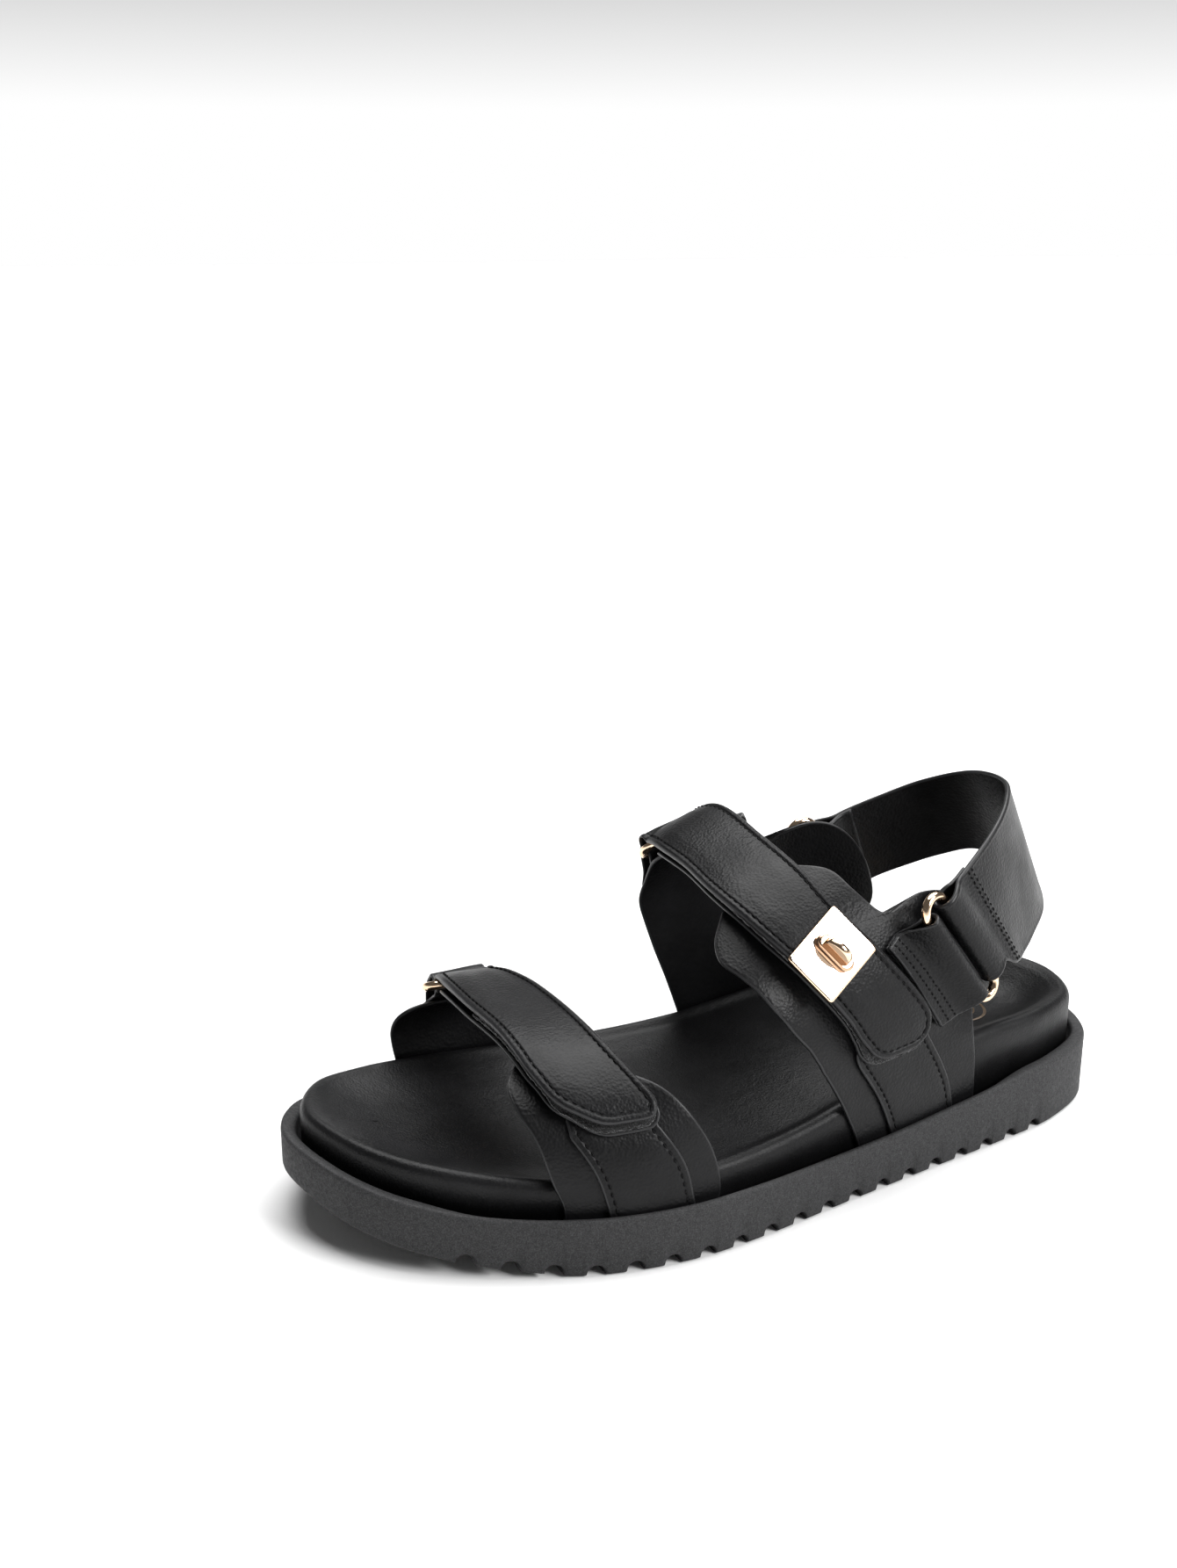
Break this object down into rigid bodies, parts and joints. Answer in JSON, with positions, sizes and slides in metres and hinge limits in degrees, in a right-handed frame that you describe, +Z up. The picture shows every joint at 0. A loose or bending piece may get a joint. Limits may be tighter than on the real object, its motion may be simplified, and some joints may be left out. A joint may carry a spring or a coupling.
{
  "type": "strappy sport sandal",
  "caption": "Left black leather sport sandal with two hook-and-loop strap flaps, oval rings, a turn lock plate and a heel strap on a ribbed platform sole.",
  "frame": {"origin": "middle of the footprint's bounding box, on the ground", "axes": "+Z up, toe towards -Y, heel towards +Y, outer (lateral) side of the foot towards +X"},
  "size_m": [0.1089, 0.2621, 0.1047],
  "materials": {
    "outsole_eva": "matt, finely speckled foam rubber",
    "black_leather": "semi-matt, fine pebble grain",
    "foam": "matt foam",
    "fibre_board": "matt pressed fibre",
    "steel": "rolled",
    "pale_gold": "polished pale gold plating",
    "hook_and_loop": "fuzzy nylon tape"
  },
  "bodies": {
    "sole_body": {"outsole": "outsole_eva", "footbed_cover": "black_leather", "midsole_core": "foam", "insole_board": "fibre_board", "shank": "steel", "forefoot_lateral_panel": "black_leather", "forefoot_lateral_overlay": "black_leather", "forefoot_medial_panel": "black_leather", "forefoot_medial_loop": "black_leather", "forefoot_under_strap": "black_leather", "forefoot_loop_pad": "hook_and_loop", "instep_lateral_panel": "black_leather", "instep_lateral_overlay": "black_leather", "instep_medial_panel": "black_leather", "instep_medial_loop": "black_leather", "instep_under_strap": "black_leather", "instep_loop_pad": "hook_and_loop", "lateral_ring_tab": "black_leather", "medial_ring_tab": "black_leather"},
    "forefoot_ring_body": {"forefoot_ring": "pale_gold"},
    "forefoot_flap_body": {"forefoot_flap": "black_leather", "forefoot_hook_pad": "hook_and_loop"},
    "instep_ring_body": {"instep_ring": "pale_gold"},
    "instep_flap_body": {"instep_flap": "black_leather", "instep_hook_pad": "hook_and_loop", "turnlock_plate": "pale_gold"},
    "turnlock_body": {"turnlock_knob": "pale_gold", "turnlock_washer": "steel"},
    "heel_strap_body": {"heel_strap": "black_leather", "heel_ring_lateral": "pale_gold", "heel_ring_medial": "pale_gold"}
  },
  "joints": [
    {"name": "forefoot_ring_swing", "type": "hinge", "parent": "sole_body", "child": "forefoot_ring_body", "pos_m": [-0.0467, -0.06467, 0.04783], "axis": [-0.0581, -0.9982, -0.0162], "range_deg": [0, 20]},
    {"name": "forefoot_flap_open", "type": "hinge", "parent": "forefoot_ring_body", "child": "forefoot_flap_body", "pos_m": [-0.03946, -0.06515, 0.05121], "axis": [-0.0581, -0.9982, -0.0162], "range_deg": [0, 100]},
    {"name": "instep_ring_swing", "type": "hinge", "parent": "sole_body", "child": "instep_ring_body", "pos_m": [-0.04134, 0.00807, 0.08371], "axis": [-0.0051, -0.9581, -0.2863], "range_deg": [0, 20]},
    {"name": "instep_flap_open", "type": "hinge", "parent": "instep_ring_body", "child": "instep_flap_body", "pos_m": [-0.03576, 0.0064, 0.08919], "axis": [-0.0051, -0.9581, -0.2863], "range_deg": [0, 100]},
    {"name": "turnlock_turn", "type": "hinge", "parent": "instep_flap_body", "child": "turnlock_body", "pos_m": [0.04019, 0.01203, 0.07534], "axis": [0.836, -0.0472, 0.5467], "range_deg": [0, 90]},
    {"name": "heel_strap_play", "type": "hinge", "parent": "sole_body", "child": "heel_strap_body", "pos_m": [-0.00063, 0.05873, 0.0671], "axis": [0.9989, -0.0264, 0.0393], "range_deg": [-3, 3]}
  ]
}
